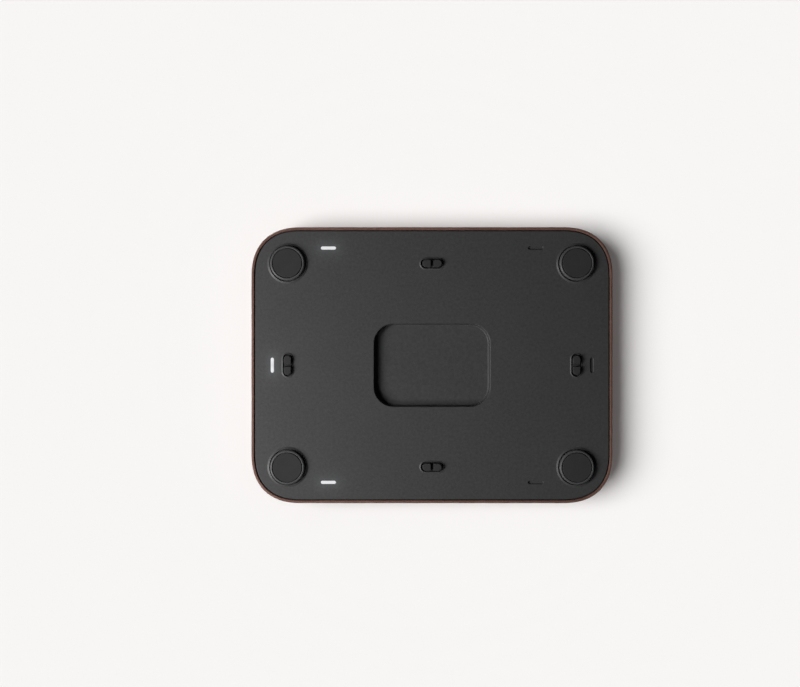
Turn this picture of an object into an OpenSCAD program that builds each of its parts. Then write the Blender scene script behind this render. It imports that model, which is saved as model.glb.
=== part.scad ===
// Charging tray: a leather-wrapped desk tray on four feet, with a moulded underside that holds
// a cable bay, two USB-C sockets, four cable clips and three lit windows.
// The tray stands on its feet: +Z is up, the front is -Y, and the origin is on the floor
// under the middle.

/* [Tray] */
// Length over the leather
body_length = 280; // [260:1:320]
// Width over the leather
body_width = 214; // [200:1:240]
// Distance from a corner at which its curve starts
corner_reach = 39; // [34:1:44]
// Squareness of the corner curve, where 2 is a plain arc
corner_power = 2.39; // [2.1:0.01:2.8]
// Inside depth, from the rim to the floor pad
tray_depth = 10.3; // [8:0.1:20]
// Thickness of the moulded wall inside its leather
tub_wall = 4.4; // [3.6:0.1:6]
// Thickness of the moulded floor
tub_floor = 2; // [1.6:0.1:3]
// Thickness of the leather
leather = 0.8; // [0.6:0.1:1.2]
// Thickness of the lined floor pad
pad_thickness = 1.2; // [0.8:0.1:2]

/* [Base cover] */
// Thickness of the cover plate
plate = 2; // [1.6:0.1:3]
// Open gap between the leather's turned edge and the plate
plate_gap = 0.7; // [0.4:0.1:1.2]
// Distance of the light slots from the tray's edge
slot_inset = 16.2; // [15:0.1:17]
// Distance of the long sides' slots from the tray's ends
slot_from_end = 59.7; // [56:0.1:64]
// Length of a slot
slot_length = 11.8; // [10:0.1:14]
// Width of a slot
slot_width = 2.6; // [2:0.1:3.2]
// Depth of the blank slots on the right half, which stop short of the plate's inner face
slot_recess = 0.9; // [0.6:0.1:1.2]

/* [Cable bay] */
// Length of the bay's opening
bay_length = 90; // [86:1:94]
// Width of the bay's opening
bay_width = 64.3; // [60:0.1:72]
// Depth of the bay
bay_depth = 7; // [6.8:0.1:9]
// Corner radius of the bay
bay_corner = 15.5; // [12:0.5:20]
// Thickness of the bay's walls and ceiling
bay_wall = 1.6; // [1.2:0.1:2]
// Inward lean of the bay's walls over their height
bay_draft = 0.6; // [0.2:0.1:1]
// Radius of the bay's soft rim
bay_lip = 0.6; // [0.4:0.1:1.2]

/* [Sockets] */
// Distance between the two sockets
port_spacing = 23.4; // [18:0.1:28]
// How far the pair sits towards the rear
port_shift = 1.4; // [-3:0.1:3]
// Depth of the socket's middle below the base
port_depth = 3.7; // [3.7:0.1:4]
// Width of a socket's shell
port_width = 8.9; // [8.6:0.1:9.2]
// Height of a socket's shell
port_height = 3.2; // [3:0.1:3.4]
// Length of a socket's shell
port_length = 7.6; // [7:0.1:9]

/* [Feet] */
// Height of the feet below the base
foot_height = 4.3; // [3.8:0.1:6]
// Distance of the feet from the tray's edges
foot_inset = 28.2; // [26:0.1:30]
// Radius of a foot
foot_radius = 13.2; // [12:0.1:14]
// Width of the foot's rounded rim
foot_rim = 1.7; // [1.2:0.1:2.4]
// Thickness of the rubber pad
foot_pad = 1.9; // [1.5:0.1:2]
// How far the pad stands below its rim
foot_proud = 0.3; // [0.2:0.1:0.5]
// Outer radius of the raised collar round a foot
collar_radius = 15.8; // [15.4:0.1:16.2]
// Height of the raised collar round a foot
collar_height = 0.6; // [0.4:0.1:0.9]
// Width of the raised collar round a foot
collar_width = 1.8; // [1.4:0.1:2]
// Depth of the groove round a foot, inside its collar
foot_groove = 1.2; // [0.4:0.1:1.2]
// Open gap between a rubber pad and its cup
pad_gap = 0.55; // [0.2:0.05:0.8]

/* [Cable clips] */
// Distance of the clips from the tray's edges
clip_inset = 28.3; // [26:0.1:30]
// Length over both posts
clip_length = 15; // [13:0.1:17]
// Width of the posts
clip_width = 5.8; // [5:0.1:7]
// Height of the posts below the base
clip_height = 3.4; // [3:0.1:3.7]
// Mouth between the posts
clip_mouth = 2.1; // [1.8:0.1:2.6]
// Diameter of the cable channel behind the mouth
clip_channel = 2.9; // [2.7:0.1:3.1]
// Open gap between the posts and the edge of their hole
clip_groove = 0.9; // [0.6:0.1:1.1]
// Width of the raised collar round a clip
clip_collar_width = 1.1; // [0.8:0.1:1.3]
// Height of the raised collar round a clip
clip_collar = 0.4; // [0.3:0.1:0.8]

/* [Electronics] */
// Length of the circuit board, away from the bay
board_length = 50; // [46:1:56]
// Width of the circuit board
board_width = 84; // [78:1:90]
// Thickness of the circuit boards
board = 1.6; // [1.2:0.1:1.6]
// Distance of the charging coils from the middle
coil_offset = 79; // [77:0.5:82]
// Outer radius of the phone coil
phone_coil_radius = 22.5; // [20:0.5:23]
// Outer radius of the earbud coil
bud_coil_radius = 15; // [12:0.5:18]
// Thickness of the coils
coil = 1.3; // [1:0.1:1.4]
// Thickness of the ferrite discs
ferrite = 0.8; // [0.6:0.1:0.8]

/* [Hidden] */

$fn = 48;
cut = 0.5; // how far a cutting shape runs past the face it opens
fit = 0.15; // side clearance of a piece in its hole
corner_steps = 9;
bay_steps = 7;
pill_steps = 5;

// Heights above the floor
base_z = foot_height;
plate_top = base_z + plate;
bay_ceiling = base_z + bay_depth;
bay_headroom = 1.6;
floor_z = bay_ceiling + bay_wall + bay_headroom;
floor_top = floor_z + tub_floor;
pad_top = floor_top + pad_thickness;
rim_z = pad_top + tray_depth;

// Insets from the leather's outline
turn_in = 3 * leather;
plate_inset = turn_in + plate_gap;
inner_tub = leather + tub_wall;
inner_wall = inner_tub + leather;
rib_inset = inner_tub + 0.3;
rib_wall = 1.2;
rib_height = 2;

// Places on the base
foot_x = body_length / 2 - foot_inset;
foot_y = body_width / 2 - foot_inset;
clip_x = body_length / 2 - clip_inset;
clip_y = body_width / 2 - clip_inset;
slot_x = body_length / 2 - slot_from_end;
slot_y = body_width / 2 - slot_inset;
end_slot_x = body_length / 2 - slot_inset;
// Each foot: the end of its name, then its side along X and along Y
feet = [["front_left", -1, -1], ["front_right", 1, -1], ["rear_left", -1, 1], ["rear_right", 1, 1]];
// Each clip: the end of its name, its place and its turn
clips = [["front", [0, -clip_y], 0], ["rear", [0, clip_y], 0],
    ["left", [-clip_x, 0], 90], ["right", [clip_x, 0], 90]];
// Each lit window, at the slots of the left half
windows = [["front", [-slot_x, -slot_y], 0], ["rear", [-slot_x, slot_y], 0],
    ["left", [-end_slot_x, 0], 90]];
// The blank slots of the right half
blanks = [[[slot_x, -slot_y], 0], [[slot_x, slot_y], 0], [[end_slot_x, 0], 90]];

// Feet and their fasteners
foot_stem = 4;
pocket_radius = foot_radius - foot_rim;
pocket_z = foot_pad;
screw_head = 2.8;
screw_head_height = 1.6;
screw_radius = 1.5;
screw_bite = 6.2;
boss_radius = 4;

// Electronics
port_z = base_z + port_depth;
port_wall = 0.3;
board_z = port_z + port_height / 2;
board_top = board_z + board;
bay_half_port = bay_length / 2 - bay_draft * port_depth / bay_depth;
board_edge = bay_half_port + bay_wall + 0.8;
board_far = board_edge + board_length;
board_hole_inset = 3.4;
board_hole = 1.1;
board_screw_radius = 0.95;
board_screw_head = 1.8;
board_screw_head_height = 0.9;
board_boss = 2.4;
port_lip = 0.2;
port_y = [port_shift - port_spacing / 2, port_shift + port_spacing / 2];
window_flange = 1;
light_chip = 0.8;
light_board = 1;
light_board_width = 5.4;
light_board_over = 3.4;
window_over = 1.4;
light_z = plate_top + window_flange + light_chip;
lead = 0.8;
lead_width = 2.4;
coil_z = floor_z - coil;
magnet_gap = 1.5;
magnet_width = 4;
magnet_inner = phone_coil_radius + magnet_gap;
magnet_outer = magnet_inner + magnet_width;
seat_gap = 0.4;
seat_wall = 1.2;
seat_height = 1.1;
plug_y = board_width / 2 - 6;
phone_plug_x = -coil_offset;
bud_plug_x = -board_edge - 12;

// Point of the corner curve at parameter t, from the corner's own centre
function corner_point(t) =
    corner_reach * [pow(cos(t), 2 / corner_power), pow(sin(t), 2 / corner_power)];

// Outward direction of the corner curve at parameter t
function corner_normal(t) =
    let (g = [pow(cos(t), 2 - 2 / corner_power), pow(sin(t), 2 - 2 / corner_power)]) g / norm(g);

// Signs of quarter q: the quarters run anticlockwise from +X +Y
function side_x(q) = (q == 0 || q == 3) ? 1 : -1;
function side_y(q) = q < 2 ? 1 : -1;
function quarter_turn(p, q) = q == 0 ? p : q == 1 ? [-p.y, p.x] : q == 2 ? -p : [p.y, -p.x];

// The tray's outline, drawn in by inset along its own normals
function outline(inset) = [
    for (q = [0:3], i = [0:corner_steps])
        let (t = 90 * i / corner_steps)
        [side_x(q) * (body_length / 2 - corner_reach), side_y(q) * (body_width / 2 - corner_reach)]
            + quarter_turn(corner_point(t) - inset * corner_normal(t), q)
];

// A rectangle of half sizes hx and hy with corners of radius r
function rounded(hx, hy, r, steps) = [
    for (q = [0:3], i = [0:steps])
        let (t = 90 * (q + i / steps))
        [side_x(q) * (hx - r) + r * cos(t), side_y(q) * (hy - r) + r * sin(t)]
];

function lifted(ring, z) = [for (p = ring) [p.x, p.y, z]];

// Points of an arc from angle a to angle b, as [inset, z] pairs
function arc(centre, r, a, b, steps) =
    [for (i = [0:steps]) let (t = a + (b - a) * i / steps) centre + r * [cos(t), sin(t)]];

// Skins a list of rings. An open stack gets a cap at each end, a closed one joins last to first.
module skin(rings, closed = false) {
    n = len(rings[0]);
    m = len(rings);
    sides = [
        for (j = [0:(closed ? m - 1 : m - 2)], i = [0:n - 1])
            let (k = (j + 1) % m, l = (i + 1) % n)
            each [[j * n + i, k * n + i, k * n + l], [j * n + i, k * n + l, j * n + l]]
    ];
    caps = closed ? [] : [[for (i = [0:n - 1]) i], [for (i = [n - 1:-1:0]) (m - 1) * n + i]];
    polyhedron(points = [for (r = rings) each r], faces = concat(sides, caps), convexity = 6);
}

// Carries a section of [inset, z] pairs round the tray's outline
module outline_skin(section, closed = false) {
    skin([for (s = section) lifted(outline(s[0]), s[1])], closed);
}

// Stacks rounded rectangles, each given as [half x, half y, corner radius, z]
module rounded_stack(levels, steps) {
    skin([for (s = levels) lifted(rounded(s[0], s[1], s[2], steps), s[3])]);
}

// A flat strip of the outline between two insets
module outline_band(outer, inner, height) {
    linear_extrude(height) difference() {
        polygon(outline(outer));
        polygon(outline(inner));
    }
}

// A pill: a rectangle with fully round ends, long along X
module pill(length, width) {
    square([length - width, width], center = true);
    for (s = [-1, 1]) translate([s * (length - width) / 2, 0]) circle(d = width);
}

// Section of a raised collar as [distance from its inner edge, z]: steep and softly edged inside, then a
// level crest and a slope that runs down into the plate
function collar_profile(width, height) =
    let (soft = height / 4, crest = width / 6, fall = height / (width - crest))
    [[0, 1], [0, soft - height], [soft, -height], [crest, -height], [width + 0.3, 0.3 * fall], [width + 0.3, 1]];

// A collar of the given width that follows a pill, standing below z = 0
module pill_collar(length, width, collar, height) {
    reach = (length - width) / 2;
    profile = collar_profile(collar, height);
    for (s = [-1, 1]) {
        translate([s * reach, 0, 0]) rotate([0, 0, s > 0 ? -90 : 90]) rotate_extrude(angle = 180)
            polygon([for (p = profile) [width / 2 - collar + p[0], p[1]]]);
        translate([-reach, 0, 0]) rotate([90, 0, 90]) linear_extrude(2 * reach)
            polygon([for (p = profile) [s * (width / 2 - collar + p[0]), p[1]]]);
    }
}

// A flat ribbon lead through a list of points, lying on z = 0
module ribbon(route) {
    for (i = [0:len(route) - 2]) {
        run = route[i + 1] - route[i];
        translate(route[i]) rotate([0, 0, atan2(run.y, run.x)]) translate([0, -lead_width / 2, 0])
            cube([norm(run), lead_width, lead]);
    }
    for (p = route) translate(p) cylinder(d = lead_width, h = lead);
}

// Moulded structure: the walls, the floor between them and the screw bosses under it
module tray_tub() {
    rim_mid = leather + tub_wall / 2;
    rim_round = rim_z - leather - tub_wall / 2;
    color("dimgray") difference() {
        union() {
            outline_skin(concat(
                [[inner_tub, floor_z], [inner_tub, plate_top], [2 * leather, plate_top]],
                arc([2 * leather, base_z + 2 * leather], leather, 270, 180, 3),
                arc([rim_mid, rim_round], tub_wall / 2, 180, 0, 8),
                [[inner_tub, floor_top]]));
            for (f = feet) translate([f[1] * foot_x, f[2] * foot_y, plate_top])
                cylinder(r = boss_radius, h = floor_z - plate_top + tub_floor / 2);
            coil_seat(-coil_offset, magnet_outer + seat_gap);
            coil_seat(coil_offset, bud_coil_radius + 1 + seat_gap);
        }
        for (f = feet) translate([f[1] * foot_x, f[2] * foot_y, plate_top - cut])
            cylinder(r = screw_radius + 0.05, h = screw_bite + cut + 0.6);
    }
}

// Low ring under the floor that locates a coil, open where its lead leaves
module coil_seat(x, r) {
    translate([x, 0, floor_z - seat_height]) difference() {
        cylinder(r = r + seat_wall, h = seat_height + tub_floor / 2);
        translate([0, 0, -cut]) cylinder(r = r, h = seat_height + tub_floor);
        translate([-lead_width, 0, -cut]) cube([2 * lead_width, r + 2 * seat_wall, seat_height + cut]);
    }
}

// One skin of leather: turned in under the wall, up the outside, over the rim and down inside
module leather_wrap() {
    rim_half = leather + tub_wall / 2;
    rim_round = rim_z - rim_half;
    color("saddlebrown") outline_skin(concat(
        [[2 * leather, plate_top], [turn_in, plate_top]],
        arc([2 * leather, base_z + leather], leather, 0, -90, 3),
        arc([2 * leather, base_z + 2 * leather], 2 * leather, 255, 180, 5),
        arc([rim_half, rim_round], rim_half, 180, 0, 10),
        [[inner_wall, floor_top], [inner_tub, floor_top]],
        arc([rim_half, rim_round], tub_wall / 2, 0, 180, 8),
        arc([2 * leather, base_z + 2 * leather], leather, 180, 270, 3)), closed = true);
}

// Lined board that covers the tray's floor, with a pressed ring over the phone coil
module floor_pad() {
    soft = pad_thickness / 3;
    edge = inner_wall + fit;
    mark_radius = phone_coil_radius;
    color("sienna") difference() {
        outline_skin([[edge, floor_top], [edge, pad_top - soft], [edge + soft / 3, pad_top - soft / 3],
            [edge + soft, pad_top]]);
        for (x = [-coil_offset, coil_offset]) translate([x, 0, pad_top])
            rotate_extrude() translate([x < 0 ? mark_radius : bud_coil_radius, 0]) circle(r = 0.4, $fn = 16);
    }
}

// Moulded underside: plate, collars, cable bay, slots, and the posts and ribs on its inner face
module base_cover() {
    soft = 0.4;
    color([0.27, 0.27, 0.28]) difference() {
        union() {
            outline_skin([[plate_inset + soft, base_z], [plate_inset + soft / 4, base_z + soft / 3],
                [plate_inset, base_z + soft], [plate_inset, plate_top]]);
            translate([0, 0, plate_top - cut]) outline_band(rib_inset, rib_inset + rib_wall, rib_height + cut);
            bay_shell();
            for (f = feet) translate([f[1] * foot_x, f[2] * foot_y, base_z]) foot_collar();
            for (c = clips) translate([c[1].x, c[1].y, base_z]) rotate([0, 0, c[2]])
                pill_collar(clip_length + 2 * (clip_groove + clip_collar_width),
                    clip_width + 2 * (clip_groove + clip_collar_width), clip_collar_width, clip_collar);
            for (p = board_holes()) translate([p.x, p.y, plate_top - cut])
                cylinder(r = board_boss, h = board_z - plate_top + cut);
            for (w = windows) translate([w[1].x, w[1].y, plate_top - cut]) rotate([0, 0, w[2]]) light_posts();
            cover_ribs();
        }
        bay_hollow();
        for (y = port_y) translate([-bay_half_port - bay_wall - 2, y, port_z]) rotate([90, 0, 90])
            linear_extrude(bay_wall + 5) pill(port_width + 2 * fit, port_height + 2 * fit);
        for (f = feet) translate([f[1] * foot_x, f[2] * foot_y, base_z - cut])
            cylinder(r = foot_stem + 0.1, h = plate + 2 * cut);
        for (c = clips) translate([c[1].x, c[1].y, base_z - cut]) rotate([0, 0, c[2]])
            linear_extrude(plate + 2 * cut) pill(clip_length + 2 * clip_groove, clip_width + 2 * clip_groove);
        for (f = feet) translate([f[1] * foot_x, f[2] * foot_y, base_z - cut]) difference() {
            cylinder(r = collar_radius - collar_width, h = cut + foot_groove);
            translate([0, 0, -cut]) cylinder(r = foot_radius - 0.3, h = foot_groove + 3 * cut);
        }
        for (w = windows) light_slot(w[1], w[2], plate + cut);
        for (b = blanks) light_slot(b[0], b[1], slot_recess);
        for (p = board_holes()) translate([p.x, p.y, plate_top + 0.2])
            cylinder(r = board_screw_radius + 0.05, h = board_z);
    }
}

// One slot cut to a depth from the plate's outer face, with a small lead-in
module light_slot(place, turn, depth) {
    translate([place.x, place.y, base_z - cut]) rotate([0, 0, turn]) {
        linear_extrude(cut + depth) pill(slot_length, slot_width);
        linear_extrude(cut + 0.3) pill(slot_length + 0.5, slot_width + 0.5);
    }
}

// Raised ring round a foot
module foot_collar() {
    inner = collar_radius - collar_width;
    rotate_extrude() polygon([for (p = collar_profile(collar_width, collar_height)) [inner + p[0], p[1]]]);
}

// Half sizes, corner radius and height of the bay's hollow, grown by a wall
function bay_level(z, out, grow) =
    let (lean = bay_draft * (z - base_z) / bay_depth - out - grow)
    [bay_length / 2 - lean, bay_width / 2 - lean, bay_corner - lean, z];

module bay_hollow() {
    floor_soft = 1;
    rounded_stack([
        bay_level(base_z - cut, bay_lip, 0),
        bay_level(base_z, bay_lip, 0),
        bay_level(base_z + bay_lip * 0.13, bay_lip / 2, 0),
        bay_level(base_z + bay_lip * 0.5, bay_lip * 0.13, 0),
        bay_level(base_z + bay_lip, 0, 0),
        bay_level(bay_ceiling - floor_soft, 0, 0),
        bay_level(bay_ceiling - floor_soft * 0.3, -floor_soft * 0.3, 0),
        bay_level(bay_ceiling, -floor_soft, 0)], bay_steps);
}

module bay_shell() {
    rounded_stack([
        bay_level(plate_top - cut, 0, bay_wall),
        bay_level(bay_ceiling + bay_wall - 0.5, 0, bay_wall),
        bay_level(bay_ceiling + bay_wall, -0.5, bay_wall)], bay_steps);
}

// The two posts that carry a light board by its ends
module light_posts() {
    half = slot_length / 2 + light_board_over;
    for (s = [-1, 1]) translate([s * half - (s > 0 ? 1.4 : 0), -light_board_width / 2, 0])
        cube([1.4, light_board_width, light_z - plate_top + cut]);
}

// Stiffening ribs on the right half, where no electronics lie
module cover_ribs() {
    rib_x = bay_length / 2 + bay_wall - 0.5;
    end_x = body_length / 2 - rib_inset - rib_wall / 2;
    end_y = body_width / 2 - rib_inset - rib_wall / 2;
    cross_x = foot_x - collar_radius - 1;
    for (y = [-bay_width / 4, bay_width / 4]) translate([rib_x, y - rib_wall / 2, plate_top - cut])
        cube([end_x - rib_x, rib_wall, rib_height + cut]);
    translate([cross_x - rib_wall / 2, -end_y, plate_top - cut]) cube([rib_wall, 2 * end_y, rib_height + cut]);
}

// Places of the circuit board's four screws
function board_holes() = [
    for (x = [-board_edge - board_hole_inset, -board_far + board_hole_inset], s = [-1, 1])
        [x, s * (board_width / 2 - board_hole_inset)]
];

// Hard foot: a shallow cup with a rounded rim and a stem through the cover plate
module foot_cup(side_x, side_y) {
    edge = 0.8;
    inner_edge = 0.6;
    color([0.33, 0.33, 0.34]) translate([side_x * foot_x, side_y * foot_y, 0]) rotate_extrude() polygon(concat(
        [[screw_radius + 0.1, pocket_z + screw_head_height], [screw_head + 0.2, pocket_z + screw_head_height],
            [screw_head + 0.2, pocket_z], [pocket_radius, pocket_z]],
        arc([pocket_radius + inner_edge, foot_proud + inner_edge], inner_edge, 180, 270, 3),
        arc([foot_radius - edge, foot_proud + edge], edge, 270, 360, 5),
        [[foot_radius, base_z], [foot_stem, base_z], [foot_stem, plate_top],
            [screw_radius + 0.1, plate_top]]));
}

// Soft pad that the tray stands on
module foot_sole(side_x, side_y) {
    r = pocket_radius - pad_gap;
    soft = 0.4;
    color([0.2, 0.2, 0.21]) translate([side_x * foot_x, side_y * foot_y, 0]) rotate_extrude()
        polygon([[0, 0], [r - soft, 0], [r - soft * 0.3, soft * 0.3], [r, soft], [r, pocket_z], [0, pocket_z]]);
}

// Soft clip: two D-shaped posts with a cable channel between them, and a flange inside the plate
module cable_clip(place, turn) {
    soft = 0.7;
    tip = base_z - clip_height;
    over = clip_groove + 0.9;
    flange = 1;
    hx = clip_length / 2;
    hy = clip_width / 2;
    r = hy * 0.96;
    color([0.24, 0.24, 0.25]) translate([place.x, place.y, 0]) rotate([0, 0, turn]) difference() {
        rounded_stack([
            [hx - soft, hy - soft, r - soft, tip],
            [hx - soft * 0.5, hy - soft * 0.5, r - soft * 0.5, tip + soft * 0.13],
            [hx - soft * 0.13, hy - soft * 0.13, r - soft * 0.13, tip + soft * 0.5],
            [hx, hy, r, tip + soft],
            [hx, hy, r, plate_top],
            [hx + over, hy + over, r + over, plate_top],
            [hx + over, hy + over, r + over, plate_top + flange]], pill_steps);
        translate([-clip_mouth / 2, -clip_width, tip - cut]) cube([clip_mouth, 2 * clip_width, cut + 1.6]);
        translate([0, clip_width, base_z - clip_channel / 2]) rotate([90, 0, 0])
            cylinder(d = clip_channel, h = 2 * clip_width);
    }
}

// Frosted window: a stem in the slot and a flange behind the plate
module light_window(place, turn) {
    color([0.93, 0.95, 0.97]) translate([place.x, place.y, 0]) rotate([0, 0, turn]) {
        translate([0, 0, base_z + 0.15]) linear_extrude(plate - 0.15)
            pill(slot_length - 2 * fit, slot_width - 2 * fit);
        translate([0, 0, plate_top]) linear_extrude(window_flange)
            pill(slot_length + window_over, slot_width + window_over);
    }
}

// Strip of circuit board with its light chip, lying on its two posts
module light_strip(place, turn) {
    half = slot_length / 2 + light_board_over;
    color("seagreen") translate([place.x, place.y, light_z]) rotate([0, 0, turn]) {
        translate([-half, -light_board_width / 2, 0]) cube([2 * half, light_board_width, light_board]);
        for (x = [-slot_length / 4, slot_length / 4]) translate([x - 1.4, -0.8, -light_chip])
            cube([2.8, 1.6, light_chip + light_board / 2]);
    }
}

module main_board() {
    color("darkgreen") translate([0, 0, board_z]) linear_extrude(board) difference() {
        translate([-board_far, -board_width / 2]) square([board_length, board_width]);
        for (p = board_holes()) translate(p) circle(r = board_hole, $fn = 32);
    }
}

// Parts soldered to the board: chokes, capacitors and chips below it, two plugs above it
module board_parts() {
    hang = board_z - plate_top - 0.3;
    mid = -board_edge - board_length * 0.62;
    color([0.12, 0.12, 0.13]) {
        for (y = [-board_width / 4, board_width / 4]) translate([mid - 4, y - 4, board_z - hang]) cube([8, 8, hang]);
        for (y = [-8, 0, 8]) translate([mid + 1, y, board_z - 1.9]) cylinder(r = 2.4, h = 1.9);
        for (y = [-12, 6]) translate([-board_far + 4, y, board_z - 1]) cube([6, 6, 1]);
        for (y = [-board_width / 4, board_width / 4]) translate([-board_edge - 17, y - 2.5, board_z - 1])
            cube([5, 5, 1]);
    }
    color("ivory") for (x = [phone_plug_x, bud_plug_x])
        translate([x - 3, plug_y - 2.4, board_top]) cube([6, 4.8, floor_z - lead - board_top]);
}

// Socket shell with its tongue, open towards the bay
module usb_c_socket(y) {
    tongue = 0.7;
    mouth = -bay_half_port - port_lip;
    back = 1.2;
    color("silver") translate([mouth - port_length, y, port_z]) rotate([90, 0, 90]) {
        difference() {
            linear_extrude(port_length) pill(port_width, port_height);
            translate([0, 0, back]) linear_extrude(port_length) pill(port_width - 2 * port_wall,
                port_height - 2 * port_wall);
        }
        translate([-port_width * 0.37, -tongue / 2, back / 2])
            cube([port_width * 0.74, tongue, port_length * 0.75 - back / 2]);
    }
}

// Flat wound coil, as its outer form
module wound_coil(x, inner, outer) {
    color("peru") translate([x, 0, coil_z]) linear_extrude(coil) difference() {
        circle(r = outer);
        circle(r = inner);
    }
}

module ferrite_disc(x, r) {
    color([0.2, 0.2, 0.2]) translate([x, 0, coil_z - ferrite]) cylinder(r = r, h = ferrite);
}

// Ring of alignment magnets, broken where the coil's lead passes
module phone_magnets() {
    pieces = 12;
    step = 320 / pieces;
    color("silver") translate([-coil_offset, 0, coil_z]) linear_extrude(coil) for (i = [0:pieces - 1])
        rotate([0, 0, 90 + 20 + i * step]) rotate([0, 0, 0.5]) magnet_tile(step - 1);
}

// Part of a flat ring that spans an angle from +X
module magnet_tile(span) {
    far = 2 * magnet_outer;
    difference() {
        circle(r = magnet_outer, $fn = 64);
        circle(r = magnet_inner, $fn = 64);
        translate([-far, -2 * far]) square([2 * far, 2 * far]);
        rotate([0, 0, span]) translate([-far, 0]) square([2 * far, 2 * far]);
    }
}

// Ribbons from the coils to their plugs, lying against the tray's floor from below
module coil_leads() {
    color("orange") translate([0, 0, floor_z - lead]) {
        ribbon([[-coil_offset, phone_coil_radius + lead_width / 2 + 0.1], [phone_plug_x, plug_y]]);
        ribbon([[coil_offset, bud_coil_radius + lead_width / 2 + 0.1], [coil_offset, plug_y], [bud_plug_x, plug_y]]);
    }
}

// Ribbons on the cover plate from the board to each light strip
module light_leads() {
    rise = board_z - plate_top;
    side_y = slot_length / 2 + light_board_over + lead_width / 2 + 0.3;
    strip_end = slot_x - slot_length / 2 - light_board_over;
    color("orange") {
        for (s = [-1, 1]) {
            translate([0, 0, plate_top]) ribbon([[-strip_end + 3, s * slot_y], [-strip_end + 3, s * (board_width / 2 - 1.5)]]);
            translate([-strip_end + 3 - lead_width / 2, s * (board_width / 2 - 1.5) - lead_width / 2, plate_top])
                cube([lead_width, lead_width, rise]);
            translate([-strip_end + 0.2, s * slot_y - lead_width / 2, plate_top])
                cube([3, lead_width, light_z + light_board - plate_top]);
        }
        translate([0, 0, plate_top]) ribbon([[-end_slot_x, side_y], [-board_far + 1.5, side_y]]);
        translate([-board_far + 1.5 - lead_width / 2, side_y - lead_width / 2, plate_top])
            cube([lead_width, lead_width, rise]);
        translate([-end_slot_x - lead_width / 2, side_y - lead_width / 2, plate_top])
            cube([lead_width, lead_width, light_z + light_board - plate_top]);
    }
}

// Screws under the foot pads, up through the cups and the plate into the tub
module cover_screws() {
    color("silver") for (f = feet) translate([f[1] * foot_x, f[2] * foot_y, 0]) rotate_extrude() polygon([
        [0, pocket_z + 0.2], [screw_head * 0.8, pocket_z + 0.2], [screw_head, pocket_z + 0.6],
        [screw_head, pocket_z + screw_head_height], [screw_radius, pocket_z + screw_head_height],
        [screw_radius, plate_top + screw_bite], [0, plate_top + screw_bite]]);
}

// Screws that hold the circuit board on the cover's bosses
module board_screws() {
    color("silver") for (p = board_holes()) translate([p.x, p.y, 0]) rotate_extrude($fn = 32) polygon([
        [0, plate_top + 0.5], [board_screw_radius, plate_top + 0.5], [board_screw_radius, board_top],
        [board_screw_head, board_top], [board_screw_head, board_top + board_screw_head_height * 0.7],
        [board_screw_head * 0.8, board_top + board_screw_head_height], [0, board_top + board_screw_head_height]]);
}

tray_tub();
leather_wrap();
floor_pad();
base_cover();
for (f = feet) {
    foot_cup(f[1], f[2]);
    foot_sole(f[1], f[2]);
}
for (c = clips) cable_clip(c[1], c[2]);
for (w = windows) {
    light_window(w[1], w[2]);
    light_strip(w[1], w[2]);
}
main_board();
board_parts();
usb_c_socket(port_y[0]);  // usb_c_output
usb_c_socket(port_y[1]);  // usb_c_input
wound_coil(-coil_offset, 8, phone_coil_radius);  // phone_coil
ferrite_disc(-coil_offset, phone_coil_radius + 1);  // phone_ferrite
phone_magnets();
wound_coil(coil_offset, 5, bud_coil_radius);  // bud_coil
ferrite_disc(coil_offset, bud_coil_radius + 1);  // bud_ferrite
coil_leads();
light_leads();
cover_screws();
board_screws();
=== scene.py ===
import math

import bmesh
import bpy
import numpy as np
from mathutils import Matrix, Vector
from mathutils.geometry import tessellate_polygon


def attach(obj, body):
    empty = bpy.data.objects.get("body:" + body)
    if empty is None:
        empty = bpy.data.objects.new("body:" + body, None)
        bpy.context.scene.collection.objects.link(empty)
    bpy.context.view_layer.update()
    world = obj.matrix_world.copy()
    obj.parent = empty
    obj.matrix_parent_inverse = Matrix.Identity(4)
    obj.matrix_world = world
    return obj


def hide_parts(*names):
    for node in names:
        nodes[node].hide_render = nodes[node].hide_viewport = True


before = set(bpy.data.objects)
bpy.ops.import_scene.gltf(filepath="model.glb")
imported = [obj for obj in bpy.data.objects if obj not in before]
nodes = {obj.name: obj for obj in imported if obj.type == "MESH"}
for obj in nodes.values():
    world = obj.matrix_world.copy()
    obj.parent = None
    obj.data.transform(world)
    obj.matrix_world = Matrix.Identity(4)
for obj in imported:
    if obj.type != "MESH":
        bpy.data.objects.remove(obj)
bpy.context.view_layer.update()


# The tray tub: one black ABS moulding with the walls, the floor and the screw bosses.
# Leather and the base cover hide nearly all of it, so only its fine moulded skin is given.
MM = 0.001
TUB_BLACK = (0.016, 0.016, 0.017, 1)


def add_node(tree, kind, settings=None, **sockets):
    """Adds a node. A socket given an output of another node is linked, any other value is set."""
    made = tree.nodes.new(kind)
    for key, value in (settings or {}).items():
        setattr(made, key, value)
    for key, value in sockets.items():
        socket = made.inputs[int(key[1:])] if key[1:].isdigit() else made.inputs[key.replace("_", " ")]
        if isinstance(value, bpy.types.NodeSocket):
            tree.links.new(value, socket)
        else:
            socket.default_value = value
    return made


def maths(tree, kind, a, b=0.0, clamp=False):
    """One Math node: its operation applied to a and b."""
    return add_node(tree, "ShaderNodeMath", {"operation": kind, "use_clamp": clamp}, _0=a, _1=b).outputs[0]


def remap(tree, value, low, high, to_low=0.0, to_high=1.0):
    """Carries value from low..high to to_low..to_high, held at both ends."""
    made = add_node(tree, "ShaderNodeMapRange", None, Value=value)
    for key, number in (("From Min", low), ("From Max", high), ("To Min", to_low), ("To Max", to_high)):
        if isinstance(number, bpy.types.NodeSocket):
            tree.links.new(number, made.inputs[key])
        else:
            made.inputs[key].default_value = number
    return made.outputs[0]


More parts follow.
